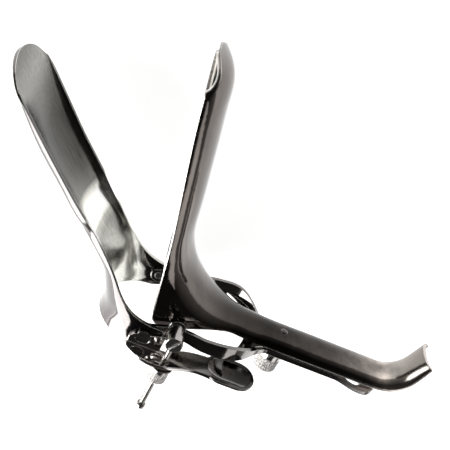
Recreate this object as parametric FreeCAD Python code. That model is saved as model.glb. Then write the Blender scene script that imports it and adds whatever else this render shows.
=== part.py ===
import FreeCAD, Part
import math
import os

# A bivalve speculum lying on its side. Every size is in millimetres.
# X runs along the handle, Y runs forward along the blades, and Z runs along the pivot axis.
# The origin is on the pivot axis, at the outer face of the lower pivot screw's head.

# Sheet and fits
sheet = 1.5
wallGap = 0.3
runningGap = 0.05

# Stack of flat layers across one side of the instrument, counted outwards from its middle plane
lowerBaseHalf = 16.0
tongueInner = 16.5
earGap = 0.5
earOuter = tongueInner + 2 * sheet + earGap
pivotHeadHigh = 1.4
middleZ = earOuter + pivotHeadHigh

# Lower blade
lowerTilt = 11.5
lowerLength = 112.3
lowerRim = 3.1
lowerCrown = 10.4
lowerBelly = 1.2
bladeHalf = 17.8
waistHalf = 16.0
tipLength = 15.0
bendRadius = 40.0

# Handle and its hook
handleHalf = 7.8
handleCrown = 10.0
handleDeep = 3.9
handleCurl = 18.0
handleWall = 0.5
handleStraight = 96.7
hookRadius = 9.0
hookTurn = 70.0
hookLength = 10.9

# Upper blade
upperTilt = 42.4
upperLength = 112.5
upperRim = -1.2
upperCrown = -7.6
upperBend = 38.5
upperBendRadius = 45.0
upperBaseY = -7.5

# Pivot screws
pivotRadius = 1.6
pivotHeadRadius = 2.7
slotWide = 0.8
slotDeep = 0.6

# Yoke
tongueRadius = 3.4
plateTop = 3.4
armTop = 8.6
armHalf = earOuter
slideTop = 2.6
slideThick = 2.2
slideHalf = 5.9
slotHalf = 4.7
slideEnd = 100.5
tailDrop = 2.4
mouthX = 26.0
mouthDeep = 13.5

# Clamp stud, washer and knurled nut on the handle
studX = 54.0
studRadius = 2.2
studHeadRadius = 1.4
slotPlay = 0.15
slideTravel = 15.5
guideRadius = 3.6
washerRadius = 5.6
washerThick = 0.8
clampNutRadius = 5.1
clampNutLong = 9.8
clampNutCollar = 2.8

# Threaded rod, its swivel and its nut
rodX = 10.8
rodTopY = 7.0
rodZ = 25.0
rodRadius = 1.25
rodEndY = -32.0
eyeRadius = 3.3
eyeThick = 2.8
swivelRadius = 1.4
swivelHeadRadius = 3.4
swivelHeadHigh = 1.1
spacerRadius = 2.6
thumbNutRadius = 4.1
thumbNutLong = 6.5
collarRadius = 4.6
collarThick = 1.2

# Thumb lever and its rivet
rivetX = 5.9
rivetY = 1.4
rivetRadius = 1.0
leverGap = 0.6
leverSeat = earOuter + 2 * runningGap
leverTop = -4.2
bowlNear = 34.0
bowlFar = 40.8
bowlZ = 18.5
bowlHalf = 7.2
bowlRadius = 12.5


def v(x, y, z):
    return FreeCAD.Vector(x, y, z)


def turned(angle):
    return math.cos(math.radians(angle)), math.sin(math.radians(angle))


def smooth(points, at):
    # Height at one place of the gentle curve through a few given points
    if at <= points[0][0]:
        return points[0][1]
    for (x0, y0), (x1, y1) in zip(points, points[1:]):
        if at <= x1:
            t = (at - x0) / (x1 - x0)
            return y0 + (y1 - y0) * t * t * (3 - 2 * t)
    return points[-1][1]


def splineEdge(points):
    curve = Part.BSplineCurve()
    curve.interpolate([v(*p) for p in points])
    return curve.toShape()


def prism(wire, direction):
    return Part.Face(wire).extrude(direction)


def trough(crown, inward, half, deep, wall, curl=0):
    # One U-shaped cross-section of sheet: half an ellipse with straight walls added to its ends
    # A curl in degrees carries the ellipse on past its widest place, so that the edges turn inwards
    cx, cy = crown
    ix, iy = inward

    def rail(inset):
        w = half - inset
        d = deep - inset
        last = math.radians(90 + curl)
        runA, runZ = d * math.sin(last), w * math.cos(last)
        step = math.hypot(runA, runZ)
        endA, endZ = deep - d * math.cos(last), w * math.sin(last)
        ends = []
        for share in (0.5, 1.0):
            ends.append((endA + share * wall * runA / step, endZ + share * wall * runZ / step))
        pts = [(a, -z) for a, z in ends[::-1]]
        steps = 10
        for i in range(steps + 1):
            angle = -last + 2 * last * i / steps
            pts.append((deep - d * math.cos(angle), w * math.sin(angle)))
        pts += ends
        return [(cx + ix * a, cy + iy * a, z) for a, z in pts]

    outer = rail(0)
    inner = rail(sheet)
    edges = [splineEdge(outer)]
    edges.append(Part.makeLine(v(*outer[-1]), v(*inner[-1])))
    edges.append(splineEdge(inner[::-1]))
    edges.append(Part.makeLine(v(*inner[0]), v(*outer[0])))
    return Part.Wire(edges)


def tipCutter(tilt, length, half):
    # Everything past a blade's rounded tip, as a block with a half ellipse taken out
    start = length - tipLength
    reach = 60.0
    block = Part.makeBox(2 * reach, 2 * tipLength, 2 * reach, v(-reach, start, -reach))
    ellipse = Part.Ellipse(v(0, 0, 0), half, tipLength)
    face = Part.Face(Part.Wire(ellipse.toShape()))
    face.rotate(v(0, 0, 0), v(0, 0, 1), 90)
    face.rotate(v(0, 0, 0), v(0, 1, 0), 90)
    if face.BoundBox.YLength > face.BoundBox.ZLength:
        face.rotate(v(0, 0, 0), v(1, 0, 0), 90)
    face.translate(v(-reach, start, 0))
    block = block.cut(face.extrude(v(2 * reach, 0, 0)))
    block.rotate(v(0, 0, 0), v(0, 0, 1), tilt)
    return block


def bladePoint(tilt, a, b):
    c, s = turned(tilt)
    return a * c - b * s, a * s + b * c


def lowerSections():
    # Blade, bend, handle and hook are one strip of sheet, followed along its outer crown
    c, s = turned(lowerTilt)
    cornerY = handleCrown
    cornerB = (cornerY - lowerCrown * s) / c
    cornerX = lowerCrown * c - cornerB * s
    turn = 90 - lowerTilt
    tangent = bendRadius * math.tan(math.radians(turn / 2))
    centreX = cornerX + tangent
    centreY = handleCrown + bendRadius
    bladeEnd = cornerB + tangent

    sections = []
    straight = lowerLength - bladeEnd
    widths = [(0, waistHalf), (0.35, 17.2), (0.76, bladeHalf)]
    for share in (1.056, 0.944, 0.88, 0.76, 0.58, 0.36, 0.16):
        belly = lowerBelly * math.sin(math.pi * min(1, 0.9 * share))
        swell = smooth([(0.45, 0), (0.8, 0.8)], share)
        rise = smooth([(0.86, 0), (1.056, 6.5)], share)
        top = lowerCrown + belly + swell - rise
        crown = bladePoint(lowerTilt, top, bladeEnd + share * straight)
        deep = max(2.6, top - lowerRim)
        sections.append(trough(crown, (-c, -s), smooth(widths, share), deep, 6))

    narrowing = [(0.44, lowerBaseHalf), (1.0, handleHalf + 0.5)]
    depths = [(0, lowerCrown - lowerRim), (0.35, 10.5), (1.0, handleDeep)]
    walls = [(0, 7), (0.3, 15), (0.6, 13), (1.0, handleWall)]
    steps = 7
    for i in range(steps):
        u = i / (steps - 0.5)
        ca, sa = turned(lowerTilt + u * turn)
        crown = (centreX - bendRadius * ca, centreY - bendRadius * sa)
        half = smooth(narrowing, u)
        curl = smooth([(0.85, 0), (1.0, handleCurl / 2)], u)
        sections.append(trough(crown, (-ca, -sa), half, smooth(depths, u), smooth(walls, u), curl))

    run = handleStraight - centreX
    for share in (0.12, 0.38, 0.7, 0.95):
        curl = handleCurl * smooth([(0, 0.6), (0.38, 1)], share)
        crown = (centreX + share * run, handleCrown)
        sections.append(trough(crown, (0, -1), handleHalf, handleDeep, handleWall, curl))
    hookY = handleCrown + hookRadius
    for i in range(4):
        ca, sa = turned(i * hookTurn / 3)
        crown = (handleStraight + hookRadius * sa, hookY - hookRadius * ca)
        curl = handleCurl * (1 - i / 3)
        deep = handleDeep + 0.2 * i
        sections.append(trough(crown, (sa, -ca), handleHalf, deep, handleWall, curl))
    ca, sa = turned(hookTurn)
    for share in (0.35, 0.7, 1.0):
        along = share * hookLength
        crown = (handleStraight + hookRadius * sa + along * ca, hookY - hookRadius * ca + along * sa)
        deep = handleDeep + 0.6 - 1.2 * share ** 2
        sections.append(trough(crown, (sa, -ca), handleHalf, deep, handleWall))
    return sections


def lowerOutline():
    # Side view of what is kept: the rim of the blade, the corner by the pivot and the lower edge
    rim = [(lowerRim + 3.3, 1.05), (lowerRim + 1.3, 0.96), (lowerRim + 0.3, 0.84), (lowerRim, 0.53)]
    rim = [(a, share * lowerLength) for a, share in rim] + [(2.6, 32), (1.5, 11)]
    top = [bladePoint(lowerTilt, a, b) for a, b in rim]
    corner = bladePoint(lowerTilt, 1.6, 4.6)
    under = [(2.6, 3.1), (10, 3.7), (18.5, 6.3), (26, 7.4), (33, 6.9), (40, 5.6)]
    line = splineEdge([(x, y, 0) for x, y in top + [corner]])
    foot = splineEdge([(x, y, 0) for x, y in under])
    join = Part.makeLine(v(*corner, 0), v(*under[0], 0))
    first = top[0]
    loop = [(40, 5.6), (40, -20), (150, -20), (150, 140), (first[0], 140), first]
    rest = Part.makePolygon([v(x, y, 0) for x, y in loop])
    return Part.Wire([line, join, foot] + rest.Edges)


def lowerBladeHandle():
    shell = Part.makeLoft(lowerSections(), True)
    keep = prism(lowerOutline(), v(0, 0, 100))
    keep.translate(v(0, 0, -50))
    body = shell.common(keep)
    body = body.cut(tipCutter(lowerTilt, lowerLength, bladeHalf))
    hole = Part.makeCylinder(studHeadRadius - 0.3, 30, v(studX, 0, 0), v(0, 1, 0))
    return body.cut(hole)


def upperSections():
    # The upper blade's crown runs straight, then bends down into the round mouth at its base
    c, s = turned(upperTilt)
    startX, startY = bladePoint(upperTilt, upperCrown, upperBend)
    centreX = startX - upperBendRadius * c
    centreY = startY - upperBendRadius * s
    sections = []
    straight = upperLength - upperBend
    widths = [(0, waistHalf + 0.2), (0.35, 17.2), (0.76, bladeHalf)]
    for share in (1.055, 0.945, 0.88, 0.75, 0.58, 0.37, 0.18):
        belly = 0.7 * math.sin(math.pi * min(1, 0.92 * share))
        rise = smooth([(0.58, 0), (0.975, 5.0)], share)
        top = upperCrown - belly + rise
        crown = bladePoint(upperTilt, top, upperBend + share * straight)
        deep = max(2.0, upperRim - top)
        sections.append(trough(crown, (c, s), smooth(widths, share), deep, 5))

    flare = [(0, waistHalf + 0.2), (0.62, earOuter - 0.3), (1, earOuter)]
    baseAngle = math.degrees(math.asin((upperBaseY - centreY) / upperBendRadius))
    baseDeep = -(centreX + upperBendRadius * math.cos(math.radians(baseAngle)))
    depths = [(0, upperRim - upperCrown), (0.5, 12), (1, baseDeep)]
    steps = 6
    for i in range(steps + 1):
        u = i / steps
        ca, sa = turned(upperTilt + u * (baseAngle - upperTilt))
        crown = (centreX + upperBendRadius * ca, centreY + upperBendRadius * sa)
        sections.append(trough(crown, (ca, sa), smooth(flare, u), smooth(depths, u), 12))
    return sections


def upperOutline():
    # Side view of what is kept: the rim of the blade, the two ears and the edge of the mouth
    rim = [(upperRim + 1.2, 1.053), (upperRim + 0.6, 1.0), (upperRim + 0.2, 0.92), (upperRim, 0.82)]
    rim += [(upperRim - 0.3, 0.58), (upperRim + 0.4, 0.355), (upperRim - 0.4, 0.195)]
    rim = [(a, share * upperLength) for a, share in rim]
    top = [bladePoint(upperTilt, a, b) for a, b in rim] + [(-9.4, 8.6), (-4.2, 5.9), (0.5, 4.8), (6.0, 4.4)]
    line = splineEdge([(x, y, 0) for x, y in top])
    reach = math.hypot(6.0, 4.4)
    low = math.sqrt(reach ** 2 - 5.0 ** 2)
    end = Part.Arc(v(6.0, 4.4, 0), v(reach, 0, 0), v(low, -5.0, 0)).toShape()
    first = top[0]
    loop = [(low, -5.0), (-1, upperBaseY + 0.05), (-150, upperBaseY + 0.05), (-150, first[1]), first]
    rest = Part.makePolygon([v(x, y, 0) for x, y in loop])
    return Part.Wire([line, end] + rest.Edges)


def upperBlade():
    shell = Part.makeLoft(upperSections(), True)
    keep = prism(upperOutline(), v(0, 0, 2 * earOuter))
    keep.translate(v(0, 0, -earOuter))
    body = shell.common(keep)
    body = body.cut(tipCutter(upperTilt, upperLength, bladeHalf))
    body = body.cut(Part.makeCylinder(pivotRadius + runningGap, 100, v(0, 0, -50)))
    return body.cut(Part.makeCylinder(rivetRadius, 50, v(rivetX, rivetY, 0)))


def armPlan():
    # Outer line of one arm seen along the blades: flat by the pivot, wide round the mouth, narrow at the neck
    flat = tongueInner + sheet
    points = [(-9, flat), (0, flat), (8, flat), (14, flat), (18, flat + 0.7), (22, armHalf - 0.3)]
    points += [(26, armHalf), (31, armHalf - 0.1), (35.5, 0.935 * armHalf), (39.5, 0.81 * armHalf)]
    points += [(43, 0.64 * armHalf), (46, 0.46 * armHalf), (50, slideHalf)]
    return points


def armBand():
    points = armPlan()
    curve = Part.BSplineCurve()
    curve.interpolate([v(x, 0, z) for x, z in points])
    inner = []
    samples = 26
    first, last = curve.FirstParameter, curve.LastParameter
    for i in range(samples + 1):
        at = first + (last - first) * i / samples
        tangent = curve.tangent(at)[0]
        spot = curve.value(at)
        inner.append((spot.x + sheet * tangent.z, 0, spot.z - sheet * tangent.x))
    outerEdge = curve.toShape()
    innerEdge = splineEdge(inner[::-1])
    a = Part.makeLine(v(*[points[-1][0], 0, points[-1][1]]), v(*inner[-1]))
    b = Part.makeLine(v(*inner[0]), v(points[0][0], 0, points[0][1]))
    band = prism(Part.Wire([outerEdge, a, innerEdge, b]), v(0, 40, 0))
    band.translate(v(0, -20, 0))
    return band


def armSide(lug):
    # Side view of one arm: round end on the pivot, level strip, then down to the plate at the neck
    bottom = plateTop - sheet
    r = tongueRadius
    c, s = turned(55)
    upper = [(-r * s, r * c), (1.0, 3.6), (5, 5.0), (8, 6.3), (14, 7.0), (20, 7.4), (27, armTop - 0.5)]
    upper += [(33, armTop), (37, armTop - 0.6), (40, 6.9), (43, 5.5), (46, 3.9), (50, slideTop)]
    lower = [(r * 0.5, -r * 0.866), (7, -1.6), (13, bottom - 0.2), (18, bottom), (22, bottom)]
    top = splineEdge([(x, y, 0) for x, y in upper])
    foot = splineEdge([(x, y, 0) for x, y in lower])
    nose = Part.Arc(v(*upper[0], 0), v(-r * math.cos(math.radians(10)), -r * math.sin(math.radians(10)), 0),
                    v(*lower[0], 0)).toShape()
    base = Part.makeLine(v(*lower[-1], 0), v(44, bottom, 0))
    last = Part.makeLine(v(44, bottom, 0), v(50, slideTop - slideThick, 0))
    back = Part.makeLine(v(50, slideTop - slideThick, 0), v(50, slideTop, 0))
    side = prism(Part.Wire([top, nose, foot, base, last, back]), v(0, 0, 40))
    if lug:
        side = side.fuse(Part.makeCylinder(eyeRadius, 40, v(rodX, rodTopY, 0)))
    return side


def slidePlate():
    # Flat plate round the mouth, then a thicker slotted strip whose tail steps down away from the handle
    low = slideTop - slideThick
    drop = [(80, 0), (83, -0.2), (88, -tailDrop * 0.62), (92, -tailDrop * 0.95), (95, -tailDrop)]
    drop += [(slideEnd - 1, -tailDrop + 0.4), (slideEnd + 1, -tailDrop + 0.9)]
    top = splineEdge([(x, slideTop + y, 0) for x, y in drop])
    foot = splineEdge([(x, low + y, 0) for x, y in drop])
    level = plateTop - sheet
    start = [(drop[0][0], low), (50, low), (44, level), (mouthX, level)]
    start += [(mouthX, plateTop), (43, plateTop), (50, slideTop), (drop[0][0], slideTop)]
    lines = Part.makePolygon([v(x, y, 0) for x, y in start]).Edges
    tip = drop[-1]
    back = Part.makeLine(v(tip[0], slideTop + tip[1], 0), v(tip[0], low + tip[1], 0))
    strip = prism(Part.Wire(Part.__sortEdges__([top, foot, back] + lines)), v(0, 0, 60))
    strip.translate(v(0, 0, -30))

    plan = armPlan()
    near = splineEdge([(x, 0, z) for x, z in plan])
    far = splineEdge([(x, 0, -z) for x, z in plan])
    straight = slideEnd - slideHalf
    side = Part.makeLine(v(plan[-1][0], 0, slideHalf), v(straight, 0, slideHalf))
    other = Part.makeLine(v(plan[-1][0], 0, -slideHalf), v(straight, 0, -slideHalf))
    end = Part.Arc(v(straight, 0, slideHalf), v(slideEnd, 0, 0), v(straight, 0, -slideHalf)).toShape()
    front = Part.makeLine(v(plan[0][0], 0, -plan[0][1]), v(plan[0][0], 0, plan[0][1]))
    outline = prism(Part.Wire(Part.__sortEdges__([near, side, end, other, far, front])), v(0, 40, 0))
    outline.translate(v(0, -20, 0))
    plate = strip.common(outline)

    mouth = Part.Ellipse(v(0, 0, 0), armHalf - sheet / 2, mouthDeep)
    hole = Part.Face(Part.Wire(mouth.toShape())).extrude(v(0, 0, 40))
    hole.rotate(v(0, 0, 0), v(1, 0, 0), 90)
    hole.rotate(v(0, 0, 0), v(0, 1, 0), 90)
    hole.translate(v(mouthX, 20, 0))
    plate = plate.cut(hole)
    plate = plate.cut(longHole(studX - 0.1, studX + slideTravel + 0.1, slotHalf))
    return plate.cut(longHole(slideEnd - 12.5, slideEnd - 10.8, slotHalf - 0.4))


def longHole(x0, x1, r):
    a = Part.makeCylinder(r, 60, v(x0, -30, 0), v(0, 1, 0))
    b = Part.makeCylinder(r, 60, v(x1, -30, 0), v(0, 1, 0))
    box = Part.makeBox(x1 - x0, 60, 2 * r, v(x0, -30, -r))
    return a.fuse([b, box])


def yoke():
    band = armBand()
    near = band.common(armSide(True))
    far = band.common(armSide(False)).mirror(v(0, 0, 0), v(0, 0, 1))
    body = slidePlate().fuse([near, far])
    body = body.cut(Part.makeCylinder(pivotRadius, 100, v(0, 0, -50)))
    body = body.cut(Part.makeCylinder(swivelRadius, 50, v(rodX, rodTopY, 0)))
    return body.removeSplitter()


def pivotScrew(side):
    under = earOuter + 2 * runningGap
    shank = Part.makeCylinder(pivotRadius, under - tongueInner, v(0, 0, tongueInner))
    head = Part.makeCylinder(pivotHeadRadius, middleZ - under, v(0, 0, under))
    screw = shank.fuse(head)
    top = middleZ
    slot = Part.makeBox(8, slotWide, slotDeep + 1, v(-4, -slotWide / 2, top - slotDeep))
    if side < 0:
        return screw.removeSplitter().mirror(v(0, 0, 0), v(0, 0, 1))
    return screw.removeSplitter().cut(slot)


def swivelSpacer():
    foot = tongueInner + sheet
    tube = Part.makeCylinder(spacerRadius, rodZ - eyeThick / 2 - runningGap - foot, v(rodX, rodTopY, foot))
    return tube.cut(Part.makeCylinder(swivelRadius, 40, v(rodX, rodTopY, 0)))


def swivelScrew():
    seat = rodZ + eyeThick / 2 + runningGap
    shank = Part.makeCylinder(swivelRadius, seat - tongueInner, v(rodX, rodTopY, tongueInner))
    head = Part.makeCylinder(swivelHeadRadius, swivelHeadHigh, v(rodX, rodTopY, seat))
    rim = [e for e in head.Edges if abs(e.CenterOfMass.z - seat - swivelHeadHigh) < 0.01]
    head = head.makeChamfer(0.3, rim)
    slot = Part.makeBox(8, slotWide, 2, v(rodX - 4, rodTopY - slotWide / 2, seat + swivelHeadHigh - slotDeep))
    slot.rotate(v(rodX, rodTopY, 0), v(0, 0, 1), 60)
    return shank.fuse(head).removeSplitter().cut(slot)


def threadedRod():
    eye = Part.makeCylinder(eyeRadius, eyeThick, v(rodX, rodTopY, rodZ - eyeThick / 2))
    shank = Part.makeCylinder(rodRadius, rodTopY - rodEndY - 0.4, v(rodX, rodTopY, rodZ), v(0, -1, 0))
    rod = eye.fuse(shank)
    return rod.cut(Part.makeCylinder(swivelRadius + runningGap, 40, v(rodX, rodTopY, 0))).removeSplitter()


def rodStop():
    stop = Part.makeCylinder(2.0, 2.2, v(rodX, rodEndY, rodZ), v(0, 1, 0))
    stop = stop.makeChamfer(0.4, [e for e in stop.Edges if len(e.Vertexes) == 1])
    return stop.cut(Part.makeCylinder(rodRadius, 40, v(rodX, rodEndY + 0.4, rodZ), v(0, 1, 0)))


def leverBack():
    return leverTop - sheet


def thumbCollar():
    top = leverBack() - leverGap
    ring = Part.makeCylinder(collarRadius, collarThick, v(rodX, top - collarThick, rodZ), v(0, 1, 0))
    return ring.cut(Part.makeCylinder(rodRadius + runningGap, 40, v(rodX, -30, rodZ), v(0, 1, 0)))


def knurled(radius, long, plain, bore, teeth, deep):
    # Round nut along Y from the origin downwards, with straight grooves below its plain collar
    body = Part.makeCylinder(radius, long, v(0, -long, 0), v(0, 1, 0))
    body = body.makeChamfer(0.5, [e for e in body.Edges if len(e.Vertexes) == 1])
    groove = Part.makeCylinder(deep, long - plain - 1, v(radius + deep * 0.45, -long + 1, 0), v(0, 1, 0))
    grooves = []
    for i in range(teeth):
        g = groove.copy()
        g.rotate(v(0, 0, 0), v(0, 1, 0), 360.0 * i / teeth)
        grooves.append(g)
    body = body.cut(grooves)
    return body.cut(Part.makeCylinder(bore, long + 2, v(0, -long - 1, 0), v(0, 1, 0)))


def thumbNut():
    nut = knurled(thumbNutRadius, thumbNutLong, 1.0, rodRadius + runningGap, 16, 0.55)
    nut.translate(v(rodX, leverBack() - leverGap - collarThick - runningGap, rodZ))
    return nut


def pill(radius, level):
    # Rounded bar along X, whose lower side shapes the dish of the thumb rest
    bar = Part.makeCylinder(radius, bowlFar - bowlNear, v(bowlNear, level, bowlZ), v(1, 0, 0))
    ends = [Part.makeSphere(radius, v(x, level, bowlZ)) for x in (bowlNear, bowlFar)]
    return bar.fuse(ends)


def longDrum(low, high):
    # Outline of the thumb rest seen along Y: two half circles joined by straight sides
    drum = Part.makeBox(bowlFar - bowlNear, high - low, 2 * bowlHalf, v(bowlNear, low, bowlZ - bowlHalf))
    ends = []
    for x in (bowlNear, bowlFar):
        ends.append(Part.makeCylinder(bowlHalf, high - low, v(x, low, bowlZ), v(0, 1, 0)))
    return drum.fuse(ends)


def thumbLever():
    # Angle plate on the near ear, with a long arm that ends in a dished thumb rest
    back = leverBack()
    outer = [(-5.2, 24.0), (-3.0, 26.0), (1.5, 27.9), (7.0, 28.7), (14.0, 27.4), (20.0, 25.2), (25.0, 24.2)]
    outer += [(30.0, 24.4), (34.5, 25.0)]
    inner = [(33.6, 14.0), (27.0, 14.6), (20.0, 15.6), (14.5, 17.6), (10.5, leverSeat)]
    edge = splineEdge([(x, back, z) for x, z in outer])
    link = Part.makeLine(v(34.5, back, 25.0), v(38.0, back, 18.0))
    link2 = Part.makeLine(v(38.0, back, 18.0), v(33.6, back, 14.0))
    far = splineEdge([(x, back, z) for x, z in inner])
    flat = Part.makeLine(v(10.5, back, leverSeat), v(-5.2, back, leverSeat))
    start = Part.makeLine(v(-5.2, back, leverSeat), v(-5.2, back, 24.0))
    arm = prism(Part.Wire([edge, link, link2, far, flat, start]), v(0, sheet, 0))

    side = [(-5.2, back), (-5.2, -1.6), (-3.6, 0.4), (3.0, 1.9), (8.0, 4.0), (8.0, back)]
    plate = prism(Part.makePolygon([v(x, y, leverSeat) for x, y in side + side[:1]]), v(0, 0, sheet))
    bend = plate.fuse(arm).removeSplitter()
    bend = bend.cut(Part.makeCylinder(pivotHeadRadius + wallGap, 10, v(0, 0, earOuter - 2)))

    centreY = leverTop + math.sqrt(bowlRadius ** 2 - (bowlHalf - sheet) ** 2)
    outside = pill(bowlRadius + sheet, centreY)
    drum = longDrum(leverTop - 20, leverTop)
    body = bend.fuse(outside.common(drum)).cut(pill(bowlRadius, centreY))
    slot = Part.makeBox(4.0, 10, 3.5, v(7.0, back - 4, rodZ - 1.75))
    ends = [Part.makeCylinder(1.75, 10, v(x, back - 4, rodZ), v(0, 1, 0)) for x in (7.0, 11.0)]
    body = body.cut(slot.fuse(ends))
    hole = Part.makeCylinder(rivetRadius, 10, v(rivetX, rivetY, earOuter - 5))
    return body.cut(hole).removeSplitter()


def leverRivet():
    inner = earOuter - sheet + runningGap
    top = leverSeat + sheet
    shank = Part.makeCylinder(rivetRadius, top - inner, v(rivetX, rivetY, inner))
    ball = Part.makeSphere(2.2 * rivetRadius, v(rivetX, rivetY, top - rivetRadius))
    cap = ball.common(Part.makeCylinder(2 * rivetRadius, 4, v(rivetX, rivetY, top)))
    return shank.fuse(cap).removeSplitter()


def handleStud():
    inside = handleCrown - sheet
    neck = studHeadRadius - 0.3
    low = slideTop - slideThick - washerThick - clampNutLong + 1.5
    top = inside - wallGap - 2 * runningGap
    shank = Part.makeCylinder(studRadius, top - low, v(studX, low, 0), v(0, 1, 0))
    pin = Part.makeCylinder(neck, handleCrown - top, v(studX, top, 0), v(0, 1, 0))
    ball = Part.makeSphere(2.1, v(studX, handleCrown - 1.6, 0))
    head = ball.common(Part.makeCylinder(studHeadRadius, 10, v(studX, handleCrown, 0), v(0, 1, 0)))
    return shank.fuse([pin, head]).removeSplitter()


def studGuide():
    # Round block that runs in the slot, with a neck that stands up under the handle
    low = slideTop - slideThick + 0.2
    ring = Part.makeCylinder(slotHalf - slotPlay, slideTop - low + 0.3, v(studX, low, 0), v(0, 1, 0))
    neck = Part.makeCylinder(guideRadius, 7.7 - low, v(studX, low, 0), v(0, 1, 0))
    ring = ring.fuse(neck).removeSplitter()
    return ring.cut(Part.makeCylinder(studRadius, 40, v(studX, -20, 0), v(0, 1, 0)))


def clampWasher():
    top = slideTop - slideThick - runningGap
    ring = Part.makeCylinder(washerRadius, washerThick, v(studX, top - washerThick, 0), v(0, 1, 0))
    return ring.cut(Part.makeCylinder(studRadius, 40, v(studX, -20, 0), v(0, 1, 0)))


def clampNut():
    nut = knurled(clampNutRadius, clampNutLong, clampNutCollar, studRadius + runningGap, 20, 0.5)
    nut.translate(v(studX, slideTop - slideThick - washerThick - 2 * runningGap, 0))
    return nut


def main():
    os.makedirs("parts", exist_ok=True)
    pieces = {
        "lower_blade_handle": lowerBladeHandle(),
        "upper_blade": upperBlade(),
        "yoke": yoke(),
        "pivot_screw_near": pivotScrew(1),
        "pivot_screw_far": pivotScrew(-1),
        "swivel_screw": swivelScrew(),
        "swivel_spacer": swivelSpacer(),
        "threaded_rod": threadedRod(),
        "rod_stop": rodStop(),
        "thumb_collar": thumbCollar(),
        "thumb_nut": thumbNut(),
        "thumb_lever": thumbLever(),
        "lever_rivet": leverRivet(),
        "handle_stud": handleStud(),
        "stud_guide": studGuide(),
        "clamp_washer": clampWasher(),
        "clamp_nut": clampNut(),
    }
    for name, shape in pieces.items():
        shape = shape.copy()
        shape.translate(v(0, 0, middleZ))
        if shape.ShapeType != "Solid":
            shape = shape.Solids[0] if len(shape.Solids) == 1 else shape
        shape.exportStep("parts/" + name + ".step")
        print(name, len(shape.Solids), round(shape.Volume, 1))


main()
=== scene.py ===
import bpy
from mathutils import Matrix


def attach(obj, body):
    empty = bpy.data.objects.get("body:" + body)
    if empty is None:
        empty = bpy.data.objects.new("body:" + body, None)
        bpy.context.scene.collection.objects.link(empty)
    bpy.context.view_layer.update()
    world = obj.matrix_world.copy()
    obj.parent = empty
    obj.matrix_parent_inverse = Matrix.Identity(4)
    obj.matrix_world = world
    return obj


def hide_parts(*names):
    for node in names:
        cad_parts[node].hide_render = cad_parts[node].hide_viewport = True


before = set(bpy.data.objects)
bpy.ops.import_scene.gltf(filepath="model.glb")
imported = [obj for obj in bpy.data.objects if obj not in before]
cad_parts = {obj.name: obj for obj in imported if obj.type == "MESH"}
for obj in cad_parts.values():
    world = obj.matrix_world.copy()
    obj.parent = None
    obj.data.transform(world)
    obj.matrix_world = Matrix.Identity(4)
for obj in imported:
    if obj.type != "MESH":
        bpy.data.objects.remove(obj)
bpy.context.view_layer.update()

import math
import bpy
import bmesh
from mathutils import Matrix, Vector

# Bivalve speculum in polished stainless steel, lying on its side.
# Metres, in the same frame as the solids: X along the handle, Y along the blades, Z along the pivot.
# Sizes in the dictionaries are millimetres, apart from those of the floor and the lamps.
mm = 0.001

print("stage: model loaded", len(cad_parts), "nodes")


def srgb(hexColour):
    # Hex colour as a person picks it, turned to the linear values that the shader wants
    values = [int(hexColour.lstrip("#")[i:i + 2], 16) / 255 for i in (0, 2, 4)]
    return [v / 12.92 if v <= 0.04045 else ((v + 0.055) / 1.055) ** 2.4 for v in values] + [1.0]


def grey(level):
    return [level, level, level, 1]


def greys(stops):
    return [(place, grey(level)) for place, level in stops]


def layStops(band, stops):
    # Fills a colour ramp from pairs of place and colour
    while len(band.elements) < len(stops):
        band.elements.new(0.5)
    for element, (place, colour) in zip(band.elements, stops):
        element.position = place
        element.color = colour


def addNode(tree, kind, settings=None, inputs=None):
    # One node with its settings, its socket values and its links
    node = tree.nodes.new(kind)
    for key, value in (settings or {}).items():
        if key == "stops":
            layStops(node.color_ramp, value)
        else:
            setattr(node, key, value)
    for key, value in (inputs or {}).items():
        if isinstance(value, bpy.types.NodeSocket):
            tree.links.new(value, node.inputs[key])
        else:
            node.inputs[key].default_value = value
    return node


def raggedShare(tree, vector, axis, reach, noise, ragged):
    # Share of the way along an axis, whose borders a noise makes uneven
    split = addNode(tree, "ShaderNodeSeparateXYZ", None, {"Vector": vector})
    share = addNode(tree, "ShaderNodeMath", {"operation": "DIVIDE"}, {0: split.outputs[axis], 1: reach * mm})
    uneven = addNode(tree, "ShaderNodeMath", {"operation": "MULTIPLY_ADD"},
                     {0: noise, 1: ragged, 2: share.outputs["Value"]})
    centred = addNode(tree, "ShaderNodeMath", {"operation": "SUBTRACT"},
                      {0: uneven.outputs["Value"], 1: ragged / 2})
    return centred.outputs["Value"]


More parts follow.
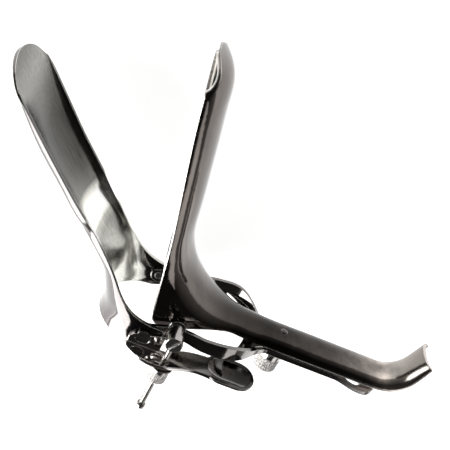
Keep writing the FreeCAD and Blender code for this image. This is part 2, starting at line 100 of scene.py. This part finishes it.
def steelMaterial(name, look):
    # Polished stainless steel: a clear mirror that is never quite flat, with fine buffing lines
    material = bpy.data.materials.new(name)
    material.use_nodes = True
    tree = material.node_tree
    tree.nodes.clear()
    coords = addNode(tree, "ShaderNodeTexCoord")
    turned = addNode(tree, "ShaderNodeMapping", None,
                     {"Vector": coords.outputs["Object"],
                      "Rotation": (0, 0, math.radians(-look["grainTurn"]))})
    along = turned.outputs["Vector"]

    # Slow waves left by hand buffing bend the reflections a little
    waves = addNode(tree, "ShaderNodeTexNoise", None,
                    {"Vector": along, "Scale": 1 / (look["waveLength"] * mm),
                     "Detail": 1.5, "Roughness": 0.4})
    # Fine lines along the grain, drawn coarser than real grit so that they show
    fineness, length = 1 / (look["grainWide"] * mm), 1 / (look["grainLong"] * mm)
    stretched = addNode(tree, "ShaderNodeMapping", None,
                        {"Vector": along, "Scale": (fineness, length, fineness)})
    grain = addNode(tree, "ShaderNodeTexNoise", None,
                    {"Vector": stretched.outputs["Vector"], "Scale": 1.0, "Detail": 4, "Roughness": 0.65})
    # Long hazy streaks, as on handled steel
    drawn = addNode(tree, "ShaderNodeMapping", None,
                    {"Vector": along, "Scale": (1.0, look["hazeStretch"], 1.0)})
    haze = addNode(tree, "ShaderNodeTexNoise", None,
                   {"Vector": drawn.outputs["Vector"], "Scale": 1 / (look["hazeSize"] * mm),
                    "Detail": 3, "Roughness": 0.6})

    # The channel side is left satin: it is picked out by the direction that the surface faces
    facing = addNode(tree, "ShaderNodeVectorMath", {"operation": "DOT_PRODUCT"},
                     {0: coords.outputs["Normal"], 1: look["satinSide"]})
    satin = addNode(tree, "ShaderNodeMapRange", {"interpolation_type": "SMOOTHSTEP"},
                    {"Value": facing.outputs["Value"], "From Min": 0.05, "From Max": 0.45,
                     "To Min": 0.0, "To Max": look["satinShare"]})
    satinShare = satin.outputs["Result"]

    # Roughness: clear polish with hazed patches, and brushed satin in the channel
    clear, brushed = look["roughness"], look["satinRough"]
    clearRough = addNode(tree, "ShaderNodeValToRGB",
                         {"stops": greys([(0.35, clear), (0.7, clear * 1.9)])}, {"Fac": haze.outputs["Fac"]})
    satinRough = addNode(tree, "ShaderNodeValToRGB",
                         {"stops": greys([(0.3, brushed * 0.75), (0.7, brushed * 1.25)])},
                         {"Fac": grain.outputs["Fac"]})
    rough = addNode(tree, "ShaderNodeMix", {"data_type": "RGBA"},
                    {"Factor": satinShare, "A": clearRough.outputs["Color"], "B": satinRough.outputs["Color"]})

    # Colour of the satin, lighter and darker in broad bands across the channel: random wear tone, and painted
    # highlights where the look gives bands
    fine = addNode(tree, "ShaderNodeValToRGB",
                   {"stops": [(0.3, srgb(look["satinDark"])), (0.7, srgb(look["satinLight"]))]},
                   {"Fac": grain.outputs["Fac"]})
    shift = look["wearShift"]
    banded = addNode(tree, "ShaderNodeMapping", None,
                     {"Vector": along, "Location": (shift, shift, 0), "Scale": (0.35, 1.0, 0.35)})
    # This noise also makes the borders of the painted highlight bands uneven
    wear = addNode(tree, "ShaderNodeTexNoise", None,
                   {"Vector": banded.outputs["Vector"], "Scale": 1 / (look["wearLong"] * mm),
                    "Detail": 2.0, "Roughness": 0.45})
    bandBy, bandStops = wear.outputs["Fac"], look["wear"]
    if look["bands"]:
        # Painted highlight bands, placed as shares of the blade's length
        bandBy = raggedShare(tree, along, "Y", look["bandReach"], bandBy, look["ragged"])
        bandStops = look["bands"]
    bandTone = addNode(tree, "ShaderNodeValToRGB", {"stops": greys(bandStops)}, {"Fac": bandBy})
    satinColourWithBands = addNode(tree, "ShaderNodeMix",
                     {"data_type": "RGBA", "blend_type": "MULTIPLY", "clamp_result": True},
                     {"Factor": 1.0, "A": fine.outputs["Color"], "B": bandTone.outputs["Color"]})

    # Colour of the clear polish
    tint = addNode(tree, "ShaderNodeValToRGB",
                   {"stops": [(0.3, srgb(look["dark"])), (0.72, srgb(look["light"]))]},
                   {"Fac": haze.outputs["Fac"]}).outputs["Color"]
    if look["shade"]:
        # Painted reflections: dark and light tone placed along the piece
        paintedReflectionShare = raggedShare(tree, coords.outputs["Object"], "X", look["shadeReach"],
                             haze.outputs["Fac"], look["ragged"])
        paintedReflectionRamp = addNode(tree, "ShaderNodeValToRGB", {"stops": greys(look["shade"])}, {"Fac": paintedReflectionShare})
        tint = addNode(tree, "ShaderNodeMix",
                       {"data_type": "RGBA", "blend_type": "MULTIPLY", "clamp_result": True},
                       {"Factor": 1.0, "A": tint, "B": paintedReflectionRamp.outputs["Color"]}).outputs["Result"]
    colour = addNode(tree, "ShaderNodeMix", {"data_type": "RGBA"},
                     {"Factor": satinShare, "A": tint, "B": satinColourWithBands.outputs["Result"]})

    # Sheet edges get a painted highlight: found where the rounded normal leaves the true one
    edge = addNode(tree, "ShaderNodeBevel", {"samples": 6}, {"Radius": look["edge"] * mm})
    flat = addNode(tree, "ShaderNodeNewGeometry")
    turnOff = addNode(tree, "ShaderNodeVectorMath", {"operation": "DOT_PRODUCT"},
                      {0: edge.outputs["Normal"], 1: flat.outputs["Normal"]})
    edgeHighlightShare = addNode(tree, "ShaderNodeMapRange", None,
                     {"Value": turnOff.outputs["Value"], "From Min": 0.97, "From Max": 0.80,
                      "To Min": 0.0, "To Max": look["edgeShare"]})
    colour = addNode(tree, "ShaderNodeMix", {"data_type": "RGBA"},
                     {"Factor": edgeHighlightShare.outputs["Result"], "A": colour.outputs["Result"],
                      "B": srgb(look["bright"])})
    waveBump = addNode(tree, "ShaderNodeBump", None,
                       {"Height": waves.outputs["Fac"], "Strength": 1.0, "Distance": look["waveHigh"] * mm,
                        "Normal": edge.outputs["Normal"]})
    grainBump = addNode(tree, "ShaderNodeBump", None,
                        {"Height": grain.outputs["Fac"], "Strength": look["grainBump"],
                         "Distance": look["grainHigh"] * mm, "Normal": waveBump.outputs["Normal"]})
    shader = addNode(tree, "ShaderNodeBsdfPrincipled", None,
                     {"Base Color": colour.outputs["Result"], "Metallic": 1.0,
                      "Roughness": rough.outputs["Result"], "Normal": grainBump.outputs["Normal"]})
    addNode(tree, "ShaderNodeOutputMaterial", None, {"Surface": shader.outputs["BSDF"]})
    return material


def setMaterial(node, material):
    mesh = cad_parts[node].data
    if not mesh.materials:
        mesh.materials.append(material)
    for i in range(len(mesh.materials)):
        mesh.materials[i] = material


# Finish that all the pieces start from. Its colours are darker than those of clean stainless steel: they
# were matched to the photograph under this light.
baseLook = {
    "dark": "#585655", "light": "#757170", "roughness": 0.06,              # clear polish, clean and hazed
    "satinDark": "#444443", "satinLight": "#6E6D68", "satinRough": 0.22,   # brushed channel
    "satinSide": (0, 0, 1), "satinShare": 0.0,                             # where the brushed side faces
    "wearLong": 20.0, "wearShift": 0.012, "wear": [(0.36, 0.6), (0.66, 1.6)],
    "bands": None, "bandReach": 112.5,                                     # set by share of a blade's length
    "shade": None, "shadeReach": 120.0,                                    # set by share of the handle's length
    "ragged": 0.12,
    "grainTurn": 0.0, "grainWide": 0.25, "grainLong": 14.0,                # degrees from Y, then size of a line
    "grainBump": 0.25, "grainHigh": 0.02,
    "waveLength": 24.0, "waveHigh": 0.04,
    "hazeSize": 9.0, "hazeStretch": 0.22,
    # The colour of the edges is a painted highlight
    "edge": 0.5, "edgeShare": 0.9, "bright": "#E3E1DE",                    # rounding and colour of the edges
}

# Lower blade with the handle: painted reflections, dark along the grip and light at the hook
lowerTurn = 11.5
lowerTilt = math.radians(lowerTurn)
lowerBladeLook = dict(
    baseLook, dark="#5A5552", light="#77706B", edge=1.1, grainTurn=lowerTurn,
    satinSide=(-math.cos(lowerTilt), -math.sin(lowerTilt), 0), satinShare=0.6,
    shade=[(0.06, 0.95), (0.15, 0.75), (0.24, 0.33), (0.4, 0.22), (0.56, 0.36), (0.68, 0.5),
           (0.8, 1.6), (0.86, 4.2), (0.94, 2.6), (1.0, 1.0)])

# Upper blade: light bands past the bend and short of the tip stand in for the photograph's highlights
upperTurn = 42.4
upperTilt = math.radians(upperTurn)
upperBladeLook = dict(
    baseLook, grainTurn=upperTurn, satinSide=(math.cos(upperTilt), math.sin(upperTilt), 0), satinShare=1.0,
    bands=[(0.14, 5.5), (0.22, 5.0), (0.31, 2.8), (0.35, 4.5), (0.395, 16.0), (0.425, 12.0),
           (0.47, 1.6), (0.56, 0.75), (0.74, 0.7), (0.86, 1.2), (0.94, 2.1), (1.0, 1.2)])

yokeLook = dict(baseLook, grainTurn=90.0, dark="#6E6C6B", light="#96928F")

# Thumb lever: painted reflections, light on the plate and dark in the dish
leverLook = dict(
    baseLook, grainTurn=90.0, dark="#72706F", light="#96928F", edge=0.6,
    shade=[(0.0, 2.6), (0.1, 2.4), (0.17, 1.5), (0.25, 0.6), (0.34, 0.3), (0.5, 0.25)])

sheetLooks = {"lower_blade_handle": lowerBladeLook, "upper_blade": upperBladeLook,
              "yoke": yokeLook, "thumb_lever": leverLook}
for node, look in sheetLooks.items():
    setMaterial(node, steelMaterial("polished stainless sheet " + node.replace("_", " "), look))

# Screws, nuts and washers are turned from bar: brighter than the sheet, with finer lines
turnedLook = dict(baseLook, grainWide=0.12, grainLong=3.0, waveLength=5.0, waveHigh=0.01, edge=0.15,
                  roughness=0.12, dark="#A3A09D", light="#C4C0BC")
turnedSteel = steelMaterial("turned steel screws and nuts", turnedLook)

# The stud's riveted head is set dark, a painted dark reflection
studLook = dict(turnedLook, dark="#4A4847", light="#5C5957")
darkStudSteel = steelMaterial("stud steel with painted dark reflection", studLook)
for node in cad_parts:
    if node not in sheetLooks:
        setMaterial(node, darkStudSteel if node == "handle_stud" else turnedSteel)
print("stage: materials set")

# Knurled nuts: closed skins about a line along Y, with crossed cuts on the band below a plain collar
clampLook = {
    "x": 54.0, "z": 21.4, "top": -0.5, "long": 9.8, "radius": 5.1, "bore": 2.25,
    "plain": 2.8, "chamfer": 0.5, "lip": 0.1,
    "teeth": 34, "facets": 8, "rows": 30, "deep": 0.3, "cross": 0.9, "sharp": 2.2,
}
thumbLook = dict(clampLook, x=10.8, z=46.4, top=-7.55, long=6.5, radius=4.1, bore=1.3, plain=1.0, teeth=26)


def peak(value):
    # Saw-tooth between 0 and 1 that is highest at each whole number
    return abs(2 * (value - math.floor(value)) - 1)


def knurlCut(look, angle, height):
    # Two sets of slanting cuts that cross, leaving small diamonds
    turnShare = look["teeth"] * angle / (2 * math.pi)
    slant = look["cross"] * height
    cuts = [1 - look["sharp"] * peak(turnShare + lean) for lean in (slant, -slant)]
    return look["deep"] * max(cuts + [0])


def nutOutline(look):
    # Radius, height and share of the knurl's depth, down the outside from bore to bore
    top, radius, chamfer = look["top"], look["radius"], look["chamfer"]
    low = top - look["long"]
    bandTop = top - look["plain"]
    bandLow = low + chamfer + look["lip"]
    outline = [(look["bore"], top, 0), (radius - chamfer, top, 0), (radius, top - chamfer, 0),
               (radius, bandTop + look["lip"], 0)]
    for i in range(look["rows"] + 1):
        outline.append((radius, bandTop - (bandTop - bandLow) * i / look["rows"], 1))
    return outline + [(radius - chamfer, low, 0), (look["bore"], low, 0)]


def knurledNut(name, look):
    around = look["teeth"] * look["facets"]
    outline = nutOutline(look)
    verts = []
    for radius, height, cutShare in outline:
        for j in range(around):
            angle = 2 * math.pi * j / around
            r = radius - cutShare * knurlCut(look, angle, height)
            verts.append(((look["x"] + r * math.cos(angle)) * mm, height * mm,
                          (look["z"] + r * math.sin(angle)) * mm))
    faces = []
    for i in range(len(outline)):
        row, nextRow = i * around, (i + 1) % len(outline) * around
        for j in range(around):
            k = (j + 1) % around
            faces.append((row + j, row + k, nextRow + k, nextRow + j))
    mesh = bpy.data.meshes.new(name)
    mesh.from_pydata(verts, [], faces)
    mesh.materials.append(turnedSteel)
    nut = bpy.data.objects.new(name, mesh)
    bpy.context.scene.collection.objects.link(nut)
    turnOut(mesh)
    return nut


def turnOut(mesh):
    # Points all faces of a closed skin outwards
    skin = bmesh.new()
    skin.from_mesh(mesh)
    bmesh.ops.recalc_face_normals(skin, faces=skin.faces)
    skin.to_mesh(mesh)
    skin.free()


for name, node, body, look in (("clampNutKnurled", "clamp_nut", "slide_nut", clampLook),
                               ("thumbNutKnurled", "thumb_nut", "lock_nut", thumbLook)):
    nut = knurledNut(name, look)
    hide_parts(node)
    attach(nut, body)
print("stage: nuts knurled")

# Threaded rod: a common 2.5 mm thread has a pitch of 0.45 mm, and this one is drawn coarser so that it shows
threadLook = {"pitch": 0.7, "deep": 0.22, "outer": 1.25, "low": -31.6, "high": 3.6, "x": 10.8, "z": 46.4,
              "steps": 24, "sunk": 0.02, "axisNear": 0.01}


def rodWithEye(look):
    # The rod keeps its eye from the solids, with the shank drawn in to the root of the thread
    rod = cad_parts["threaded_rod"].copy()
    rod.data = rod.data.copy()
    rod.name = "rodWithEye"
    bpy.context.scene.collection.objects.link(rod)
    rod.data.transform(rod.matrix_world)
    rod.matrix_world = Matrix.Identity(4)
    root = look["outer"] - look["deep"] - look["sunk"]
    for vertex in rod.data.vertices:
        x, y, z = vertex.co / mm
        reach = math.hypot(x - look["x"], z - look["z"])
        if y < look["high"] and reach > look["axisNear"]:
            vertex.co.x = (look["x"] + (x - look["x"]) * root / reach) * mm
            vertex.co.z = (look["z"] + (z - look["z"]) * root / reach) * mm
    return rod


def threadTree(look, material):
    # A sharp ridge swept along a helix: its inner half is hidden in the shank
    tree = bpy.data.node_groups.new("rod thread", "GeometryNodeTree")
    for label in ("Pitch", "Path Radius", "Ridge", "Length"):
        tree.interface.new_socket(label, in_out="INPUT", socket_type="NodeSocketFloat")
    tree.interface.new_socket("Geometry", in_out="OUTPUT", socket_type="NodeSocketGeometry")
    sizes = addNode(tree, "NodeGroupInput").outputs
    turns = addNode(tree, "ShaderNodeMath", {"operation": "DIVIDE"}, {0: sizes["Length"], 1: sizes["Pitch"]})
    helix = addNode(tree, "GeometryNodeCurveSpiral", None,
                    {"Resolution": look["steps"], "Rotations": turns.outputs["Value"],
                     "Start Radius": sizes["Path Radius"], "End Radius": sizes["Path Radius"],
                     "Height": sizes["Length"]})
    upright = addNode(tree, "GeometryNodeSetCurveNormal", {"mode": "Z_UP"}, {"Curve": helix.outputs["Curve"]})
    ridge = addNode(tree, "GeometryNodeCurvePrimitiveCircle", {"mode": "RADIUS"},
                    {"Resolution": 4, "Radius": sizes["Ridge"]})
    sweep = addNode(tree, "GeometryNodeCurveToMesh", None,
                    {"Curve": upright.outputs["Curve"], "Profile Curve": ridge.outputs["Curve"],
                     "Fill Caps": True})
    laid = addNode(tree, "GeometryNodeTransform", None,
                   {"Geometry": sweep.outputs["Mesh"], "Rotation": (math.radians(90), 0, 0),
                    "Translation": (look["x"] * mm, look["high"] * mm, look["z"] * mm)})
    real = addNode(tree, "GeometryNodeRealizeInstances", None, {"Geometry": laid.outputs["Geometry"]})
    coated = addNode(tree, "GeometryNodeSetMaterial", None,
                     {"Geometry": real.outputs["Geometry"], "Material": material})
    addNode(tree, "NodeGroupOutput", None, {"Geometry": coated.outputs["Geometry"]})
    return tree


def builtByTree(name, tree, sizes):
    # Runs a tree once and keeps its result as a plain mesh
    piece = bpy.data.objects.new(name, bpy.data.meshes.new(name))
    bpy.context.scene.collection.objects.link(piece)
    modifier = piece.modifiers.new("build", "NODES")
    modifier.node_group = tree
    for item in tree.interface.items_tree:
        if item.in_out == "INPUT":
            modifier[item.identifier] = sizes[item.name] * mm
    shape = piece.evaluated_get(bpy.context.evaluated_depsgraph_get())
    piece.data = bpy.data.meshes.new_from_object(shape)
    piece.modifiers.clear()
    turnOut(piece.data)
    return piece


rod = rodWithEye(threadLook)
for slot in range(len(rod.data.materials)):
    rod.data.materials[slot] = turnedSteel
thread = builtByTree("rodThread", threadTree(threadLook, turnedSteel), {
    "Pitch": threadLook["pitch"], "Path Radius": threadLook["outer"] - threadLook["deep"],
    "Ridge": threadLook["deep"], "Length": threadLook["high"] - threadLook["low"]})
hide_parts("threaded_rod")
for piece in (rod, thread):
    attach(piece, "rod_swivel")
print("stage: thread swept,", len(thread.data.polygons), "faces")

# Floor: a pale sheet that runs out of the view on all sides. Its size is in metres.
floorLook = {"size": 14.0, "light": "#F4F4F4", "dark": "#EFEFEE", "speckScale": 40.0, "lift": 0.9}


def floorMaterial(look):
    # Pale board that reads as white behind the object and keeps only a faint shadow of it
    material = bpy.data.materials.new("pale matt board")
    material.use_nodes = True
    tree = material.node_tree
    tree.nodes.clear()
    coords = addNode(tree, "ShaderNodeTexCoord")
    speck = addNode(tree, "ShaderNodeTexNoise", None,
                    {"Vector": coords.outputs["Object"], "Scale": look["speckScale"], "Detail": 3})
    colour = addNode(tree, "ShaderNodeValToRGB",
                     {"stops": [(0.3, srgb(look["dark"])), (0.7, srgb(look["light"]))]},
                     {"Fac": speck.outputs["Fac"]})
    matt = addNode(tree, "ShaderNodeBsdfDiffuse", None, {"Color": colour.outputs["Color"]})
    path = addNode(tree, "ShaderNodeLightPath")
    seen = addNode(tree, "ShaderNodeMath", {"operation": "MAXIMUM"},
                   {0: path.outputs["Is Camera Ray"], 1: path.outputs["Is Glossy Ray"]})
    seenAll = addNode(tree, "ShaderNodeMath", {"operation": "MAXIMUM"},
                      {0: seen.outputs["Value"], 1: path.outputs["Is Transmission Ray"]})
    glow = addNode(tree, "ShaderNodeMath", {"operation": "MULTIPLY"},
                   {0: seenAll.outputs["Value"], 1: look["lift"]})
    shine = addNode(tree, "ShaderNodeEmission", None, {"Color": grey(1), "Strength": glow.outputs["Value"]})
    both = addNode(tree, "ShaderNodeAddShader", None,
                   {0: matt.outputs["BSDF"], 1: shine.outputs["Emission"]})
    addNode(tree, "ShaderNodeOutputMaterial", None, {"Surface": both.outputs["Shader"]})
    return material


half = floorLook["size"] / 2
floorMesh = bpy.data.meshes.new("floor")
floorMesh.from_pydata([(-half, -half, 0), (half, -half, 0), (half, half, 0), (-half, half, 0)], [],
                      [(0, 1, 2, 3)])
floorMesh.materials.append(floorMaterial(floorLook))
floor = bpy.data.objects.new("floor", floorMesh)
bpy.context.scene.collection.objects.link(floor)

# Surroundings: a dim warm grey room, darkest high up
roomLook = {"strength": 1.0,
            "colours": [(0.0, "#A5A3A1"), (0.4, "#6A6866"), (0.7, "#2B2A2A"), (1.0, "#3A3938")]}
world = bpy.data.worlds.new("room")
bpy.context.scene.world = world
world.use_nodes = True
tree = world.node_tree
tree.nodes.clear()
direction = addNode(tree, "ShaderNodeTexCoord")
height = addNode(tree, "ShaderNodeSeparateXYZ", None, {"Vector": direction.outputs["Generated"]})
roomColour = addNode(tree, "ShaderNodeValToRGB",
                     {"stops": [(place, srgb(colour)) for place, colour in roomLook["colours"]]},
                     {"Fac": height.outputs["Z"]})
room = addNode(tree, "ShaderNodeBackground", None,
               {"Color": roomColour.outputs["Color"], "Strength": roomLook["strength"]})
addNode(tree, "ShaderNodeOutputWorld", None, {"Surface": room.outputs["Background"]})

# Lamps: a large soft one and a weak one, placed where the photograph's reflections call for them.
# Metres and watts.
lampLooks = {
    "windowLamp": {"place": (-0.82, -0.70, 0.5), "size": (1.7, 0.9), "power": 36.0},
    "doorLamp": {"place": (0.92, -0.66, 0.74), "size": (0.75, 0.55), "power": 2.2},
}
lampAim = (0.02, 0.03, 0.02)


def hangLamp(name, look):
    light = bpy.data.lights.new(name, "AREA")
    light.shape = "RECTANGLE"
    light.size, light.size_y = look["size"]
    light.energy = look["power"]
    lamp = bpy.data.objects.new(name, light)
    bpy.context.scene.collection.objects.link(lamp)
    lamp.location = Vector(look["place"])
    aim = Vector(lampAim) - lamp.location
    lamp.rotation_euler = aim.to_track_quat("-Z", "Y").to_euler()


for name, look in lampLooks.items():
    hangLamp(name, look)
print("stage: light and floor set")

# Camera, at the angle that the photograph was taken from
cameraLook = {
    "place": (-34.864, 211.097, 265.139),
    "right": (0.91558474, 0.39220789, -0.08875562),
    "down": (0.37041989, -0.73669497, 0.56574696),
    "lens": 64.0, "sensor": 36.0, "clipStart": 10.0,
}
cameraData = bpy.data.cameras.new("camera")
cameraData.lens = cameraLook["lens"]
cameraData.sensor_width = cameraLook["sensor"]
cameraData.clip_start = cameraLook["clipStart"] * mm
camera = bpy.data.objects.new("camera", cameraData)
bpy.context.scene.collection.objects.link(camera)
right = Vector(cameraLook["right"])
up = -Vector(cameraLook["down"])
turn = Matrix((right, up, right.cross(up))).transposed().to_4x4()
camera.matrix_world = Matrix.Translation(Vector(cameraLook["place"]) * mm) @ turn
bpy.context.scene.camera = camera
bpy.context.scene.view_settings.view_transform = "Standard"
print("stage: camera set")
